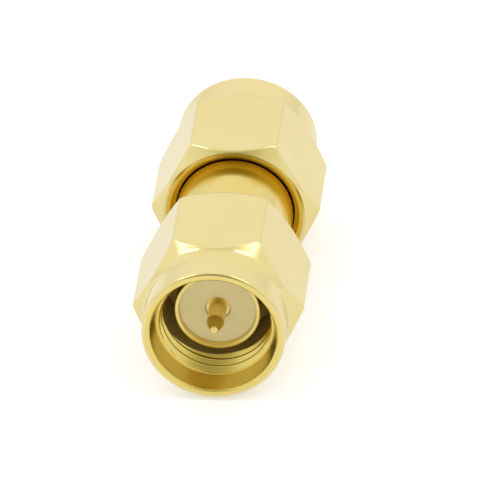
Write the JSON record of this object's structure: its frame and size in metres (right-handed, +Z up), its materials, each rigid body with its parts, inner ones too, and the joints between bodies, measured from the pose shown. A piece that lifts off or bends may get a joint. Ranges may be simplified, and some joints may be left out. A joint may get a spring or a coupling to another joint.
{
  "type": "coax adapter",
  "caption": "Gold-plated coaxial adapter, male at both ends: hexagonal coupling nuts turn freely on one turned body around a pin in white dielectric.",
  "frame": {"origin": "middle of the adapter, on its axis", "axes": "+Y along the axis towards the rear end, so the front end faces -Y; +Z up, square to a flat of each nut"},
  "size_m": [0.0092, 0.0212, 0.008],
  "materials": {
    "gold_plate": "bright pale gold plating on turned brass",
    "contact_gold": "gold plating on a turned pin",
    "spring_bronze": "plain spring bronze",
    "dielectric": "smooth waxy fluoropolymer"
  },
  "bodies": {
    "core": {"outer_body": "gold_plate", "front_dielectric_bead": "dielectric", "rear_dielectric_bead": "dielectric", "center_contact": "contact_gold"},
    "front_nut": {"front_coupling_nut": "gold_plate", "front_retaining_ring": "spring_bronze"},
    "rear_nut": {"rear_coupling_nut": "gold_plate", "rear_retaining_ring": "spring_bronze"}
  },
  "joints": [
    {"name": "front_nut_spin", "type": "hinge", "parent": "core", "child": "front_nut", "pos_m": [0, -0.006, 0], "axis": [0, -1, 0], "continuous": true},
    {"name": "rear_nut_spin", "type": "hinge", "parent": "core", "child": "rear_nut", "pos_m": [0, 0.006, 0], "axis": [0, 1, 0], "continuous": true}
  ]
}
